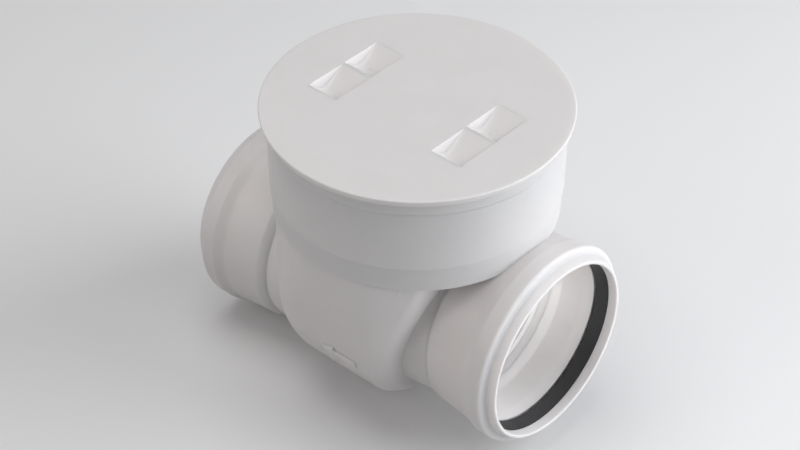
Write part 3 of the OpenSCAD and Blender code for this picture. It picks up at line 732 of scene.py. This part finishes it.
def screw(shape, place, size, length_all, head_r, head_h, shank_r):
    """Pan-head screw with a cross recess; its thread winds up to the head."""
    sides = 48
    steps_per_turn = 8
    tip_share = 0.6
    arm_w = 0.16 * head_r
    arm_l = 0.62 * head_r
    arm_depth = 0.5 * head_h
    recess_from = 0.7
    dome_drop = 0.25
    dome_shares = [k / 10 for k in range(8, 0, -1)]
    head_rows = [(1.0, 0.0), (1.0, 0.35), (0.97, 0.62), (0.9, 0.8)]
    head_rows += [(share, 1 - dome_drop * share ** 3) for share in dome_shares]
    rise = length_all - head_h
    pitch = size.pitch
    steps = int(rise / pitch * steps_per_turn) + 1
    rows = [(0.0, tip_share)]
    rows += [(k * pitch / steps_per_turn, 1.0) for k in range(steps)]
    rows += [(rise, 1.0)]
    angles = [math.tau * side / sides for side in range(sides)]

    def shank(z, taper, angle):
        wind = (z / pitch - angle / math.tau) % 1.0
        crest = 1 - abs(2 * wind - 1)
        return shank_r * taper - size.thread * (1 - crest) * min(1.0, (rise - z) / pitch)

    def recess(x, y):
        arm = max(0.0, 1 - (min(abs(x), abs(y)) / arm_w) ** 4)
        run = max(0.0, 1 - (max(abs(x), abs(y)) / arm_l) ** 6)
        return arm_depth * arm * run

    points = []
    for z, taper in rows:
        for angle in angles:
            r = shank(z, taper, angle)
            points.append(Vector((r * math.cos(angle), r * math.sin(angle), z)))
    for share, level in head_rows:
        for angle in angles:
            x, y = share * head_r * math.cos(angle), share * head_r * math.sin(angle)
            sunk = recess(x, y) if level > recess_from else 0.0
            points.append(Vector((x, y, rise + head_h * level - sunk)))
    rings = len(rows) + len(head_rows)
    faces = []
    for ring in range(rings - 1):
        for side in range(sides):
            after = (side + 1) % sides
            row, above = ring * sides, (ring + 1) * sides
            faces.append((row + side, row + after, above + after, above + side))
    top = len(points)
    points.append(Vector((0, 0, length_all - recess(0.0, 0.0))))
    foot = len(points)
    points.append(Vector((0, 0, 0)))
    for side in range(sides):
        after = (side + 1) % sides
        faces.append(((rings - 1) * sides + side, (rings - 1) * sides + after, top))
        faces.append((after, side, foot))
    placed = [place @ point for point in points]
    normals = [Vector((0, 0, 0)) for _ in placed]
    for face in faces:
        a, b, c = (placed[i] for i in face[:3])
        lean = (b - a).cross(c - a)
        for i in face:
            normals[i] += lean
    shape.add(placed, [normal.normalized() for normal in normals], faces)


def seat_normal():
    """Direction across the slanted seat, downstream, from the flap gasket's flat faces."""
    total = Vector((0, 0, 0))
    for face in NODES["flap_gasket"].data.polygons:
        lean = face.normal * face.area
        total += lean if lean.x < 0 else -lean
    return total.normalized()


def toward_heads(node, axis):
    """Direction from the screws' shanks to their heads, which hold more points."""
    levels = sorted(vertex.co.dot(axis) for vertex in NODES[node].data.vertices)
    middle = (levels[0] + levels[-1]) / 2
    upper = sum(level > middle for level in levels)
    return axis if upper * 2 > len(levels) else -axis


class VALVE_OT_make_screws(bpy.types.Operator):
    """Makes the cross-recessed screws of the insert and of the flap's clamp ring"""

    bl_idname = "valve.make_screws"
    bl_label = "Make screws"

    def execute(self, context):
        size = context.scene.valve_hardware
        axis = seat_normal()
        kinds = (
            ("frame_screws", HOUSING, axis, size.frame_head_h, size.frame_shank_r),
            ("clamp_screws", FLAP, toward_heads("clamp_screws", axis),
             size.clamp_head_h, size.clamp_shank_r),
        )
        for node, body, way, head_h, shank_r in kinds:
            shape = Shape()
            for foot, span, head_r in screw_places(node, way, size.screw_reach):
                screw(shape, facing(foot, way), size, span, head_r, head_h, shank_r)
            shape.piece(node + "_cross", body, "steel", (node,))
        return {"FINISHED"}


def clip_outline(inner, outer, gap):
    """Outline of a retaining ring with a gap, along its bore and back along its rim."""
    steps = 40
    crisp = 0.02 * MM
    span = math.tau - 2 * gap
    first = math.pi / 2 + gap
    angles = [first + span * k / steps for k in range(steps + 1)]
    bore = [(inner * math.cos(a), inner * math.sin(a), crisp) for a in reversed(angles)]
    rim = [(outer * math.cos(a), outer * math.sin(a), crisp) for a in angles]
    return bore + rim


class VALVE_OT_make_clips(bpy.types.Operator):
    """Makes the open retaining rings at the hinge pin's ends"""

    bl_idname = "valve.make_clips"
    bl_label = "Make clips"

    def execute(self, context):
        size = context.scene.valve_hardware
        bevel = 0.15 * MM
        for node in ("pin_clip_left", "pin_clip_right"):
            low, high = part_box(node)
            middle = (low + high) / 2
            outer = (high.x - low.x) / 2
            thick = high.y - low.y
            place = (Matrix.Translation((middle.x, low.y + thick, middle.z))
                     @ Matrix.Rotation(math.pi / 2, 4, "X"))
            shape = Shape()
            plate(shape, clip_outline(size.clip_inner_r, outer, size.clip_gap), place, thick, bevel)
            shape.piece(node + "_open", HOUSING, "steel", (node,))
        return {"FINISHED"}


class VALVE_OT_finish_housing(bpy.types.Operator):
    """Gives the body and chamber their white plastic"""

    bl_idname = "valve.finish_housing"
    bl_label = "Finish housing"

    def execute(self, context):
        coat(("valve_body", "access_chamber", "inlet_socket", "outlet_socket"), "white_pvc")
        return {"FINISHED"}


class VALVE_OT_finish_lid(bpy.types.Operator):
    """Gives the lid its white plastic"""

    bl_idname = "valve.finish_lid"
    bl_label = "Finish lid"

    def execute(self, context):
        coat(("lid",), "white_pvc")
        return {"FINISHED"}


class VALVE_OT_finish_seals(bpy.types.Operator):
    """Gives every sealing ring and the flap gasket their rubber"""

    bl_idname = "valve.finish_seals"
    bl_label = "Finish seals"

    def execute(self, context):
        coat(("inlet_seal", "outlet_seal", "lid_seal", "frame_seal", "flap_gasket"), "black_rubber")
        return {"FINISHED"}


class VALVE_OT_finish_insert(bpy.types.Operator):
    """Gives the seat, flap, clamp ring and bushes their plastics, and the hinge its steel"""

    bl_idname = "valve.finish_insert"
    bl_label = "Finish insert"

    def execute(self, context):
        coat(("seat_frame", "flap", "gasket_clamp"), "grey_plastic")
        coat(("hinge_bush_left", "hinge_bush_right"), "bush_plastic")
        coat(("hinge_pin", "pin_clip_left", "pin_clip_right"), "steel")
        coat(("frame_screws", "clamp_screws"), "steel")
        return {"FINISHED"}


def floor_finish(seen, bounce):
    """Pale floor that the camera and reflections see, with less light thrown back on the valve."""
    cloud_scale, cloud_detail = 6.0, 3.0
    mottle = 0.004
    roughness = 0.85
    material, nodes, links = new_material("studio_floor")
    coords = nodes.new("ShaderNodeTexCoord")
    cloud = noise(nodes, links, coords, cloud_scale, cloud_detail)
    rays = nodes.new("ShaderNodeLightPath")
    seen_rays = rays.outputs["Is Camera Ray"]
    for kind in ("Is Glossy Ray", "Is Transmission Ray"):
        either = nodes.new("ShaderNodeMath")
        either.operation = "MAXIMUM"
        links.new(seen_rays, either.inputs[0])
        links.new(rays.outputs[kind], either.inputs[1])
        seen_rays = either.outputs["Value"]
    choice = nodes.new("ShaderNodeMix")
    choice.data_type = "RGBA"
    links.new(seen_rays, choice.inputs["Factor"])
    links.new(tint(nodes, links, cloud, bounce, mottle), choice.inputs["A"])
    links.new(tint(nodes, links, cloud, seen, mottle), choice.inputs["B"])
    shader = nodes.new("ShaderNodeBsdfPrincipled")
    shader.inputs["Roughness"].default_value = roughness
    links.new(choice.outputs["Result"], shader.inputs["Base Color"])
    output = nodes.new("ShaderNodeOutputMaterial")
    links.new(shader.outputs["BSDF"], output.inputs["Surface"])
    return material


def lay_floor(studio):
    """Wide level floor under the valve."""
    half = 4.0
    level = cad_low.z
    mesh = bpy.data.meshes.new("studio_floor")
    mesh.from_pydata([(-half, -half, level), (half, -half, level),
                      (half, half, level), (-half, half, level)], [], [(0, 1, 2, 3)])
    floor = bpy.data.objects.new("studio_floor", mesh)
    bpy.context.scene.collection.objects.link(floor)
    mesh.materials.append(floor_finish(studio.floor, studio.floor_bounce))


def light_room(strength):
    """Even white light from all round."""
    world = bpy.data.worlds.new("studio_room")
    bpy.context.scene.world = world
    world.use_nodes = True
    background = world.node_tree.nodes["Background"]
    background.inputs["Color"].default_value = (*EVEN, 1)
    background.inputs["Strength"].default_value = strength


def aimed(data, place, target):
    """Puts a lamp or camera at a place, pointed at a target."""
    made = bpy.data.objects.new(data.name, data)
    bpy.context.scene.collection.objects.link(made)
    made.location = place
    direction = Vector(target) - made.location
    made.rotation_mode = "QUATERNION"
    made.rotation_quaternion = direction.to_track_quat("-Z", "Y")
    return made


def area_lamp(name, watts, light, size, place):
    """Soft round lamp that points at the valve's middle."""
    data = bpy.data.lights.new(name, "AREA")
    data.shape = "DISK"
    data.size = size
    data.energy = watts
    data.color = light
    aimed(data, place, (cad_low + cad_high) / 2)


def bore_lamp(watts):
    """Narrow lamp with a soft edge that points into the inlet socket."""
    data = bpy.data.lights.new("bore_lamp", "SPOT")
    data.energy = watts
    data.color = EVEN
    data.spot_size = math.radians(4.8)
    data.spot_blend = 0.6
    data.shadow_soft_size = 0.03
    aimed(data, place=(0.95, -0.55, 0.2), target=(0.0465, 0.006, 0.004))


def set_camera(lens):
    """Camera that sees the valve as the photograph does."""
    data = bpy.data.cameras.new("studio_camera")
    data.sensor_fit = "HORIZONTAL"
    data.sensor_width = 36.0
    data.lens = lens
    data.clip_end = 50.0
    bpy.context.scene.camera = aimed(
        data, place=(0.6267, -0.7913, 0.9018), target=(-0.076172, -0.006867, 0.035577))


class VALVE_OT_set_studio(bpy.types.Operator):
    """Lays the pale floor and sets the lamps and the camera"""

    bl_idname = "valve.set_studio"
    bl_label = "Set studio"

    def execute(self, context):
        studio = context.scene.valve_studio
        lay_floor(studio)
        light_room(studio.world)
        area_lamp("key_lamp", studio.key, studio.cool, size=1.6, place=(1.0, 0.8, 0.6))
        area_lamp("side_lamp", studio.side, studio.cool, size=0.4, place=(1.3, -0.1, 0.16))
        area_lamp("top_lamp", studio.top, EVEN, size=1.2, place=(-0.25, -0.15, 1.6))
        area_lamp("fill_lamp", studio.fill, studio.warm, size=1.2, place=(-0.65, -1.15, 0.7))
        bore_lamp(studio.bore)
        set_camera(studio.lens)
        context.scene.view_settings.view_transform = "Standard"
        return {"FINISHED"}


class VALVE_PT_dress(bpy.types.Panel):
    """Lists the valve's operators and settings"""

    bl_idname = "VALVE_PT_dress"
    bl_label = "Backwater Valve"
    bl_space_type = "VIEW_3D"
    bl_region_type = "UI"
    bl_category = "Valve"

    def draw(self, context):
        for operator in OPERATORS:
            self.layout.operator(operator.bl_idname)
        for group in SETTINGS:
            settings = getattr(context.scene, group)
            for name in settings.__annotations__:
                self.layout.prop(settings, name)


SETTINGS = {
    "valve_finishes": ValveFinishes,
    "valve_sockets": ValveSockets,
    "valve_chamber": ValveChamber,
    "valve_grips": ValveGrips,
    "valve_arrow": ValveArrow,
    "valve_hardware": ValveHardware,
    "valve_studio": ValveStudio,
}
OPERATORS = (
    VALVE_OT_finish_housing,
    VALVE_OT_finish_lid,
    VALVE_OT_finish_seals,
    VALVE_OT_finish_insert,
    VALVE_OT_make_sockets,
    VALVE_OT_make_chamber_skin,
    VALVE_OT_make_grip_floors,
    VALVE_OT_make_arrow,
    VALVE_OT_make_screws,
    VALVE_OT_make_clips,
    VALVE_OT_set_studio,
)
CLASSES = (*SETTINGS.values(), *OPERATORS, VALVE_PT_dress)


def register():
    for cls in CLASSES:
        bpy.utils.register_class(cls)
    for group, cls in SETTINGS.items():
        setattr(bpy.types.Scene, group, bpy.props.PointerProperty(type=cls))


def unregister():
    for group in SETTINGS:
        delattr(bpy.types.Scene, group)
    for cls in reversed(CLASSES):
        bpy.utils.unregister_class(cls)


def main():
    register()
    bpy.ops.valve.finish_housing()
    bpy.ops.valve.finish_lid()
    bpy.ops.valve.finish_seals()
    bpy.ops.valve.finish_insert()
    bpy.ops.valve.make_sockets()
    bpy.ops.valve.make_chamber_skin()
    bpy.ops.valve.make_grip_floors()
    bpy.ops.valve.make_arrow()
    bpy.ops.valve.make_screws()
    bpy.ops.valve.make_clips()
    bpy.ops.valve.set_studio()


if __name__ == "__main__":
    main()
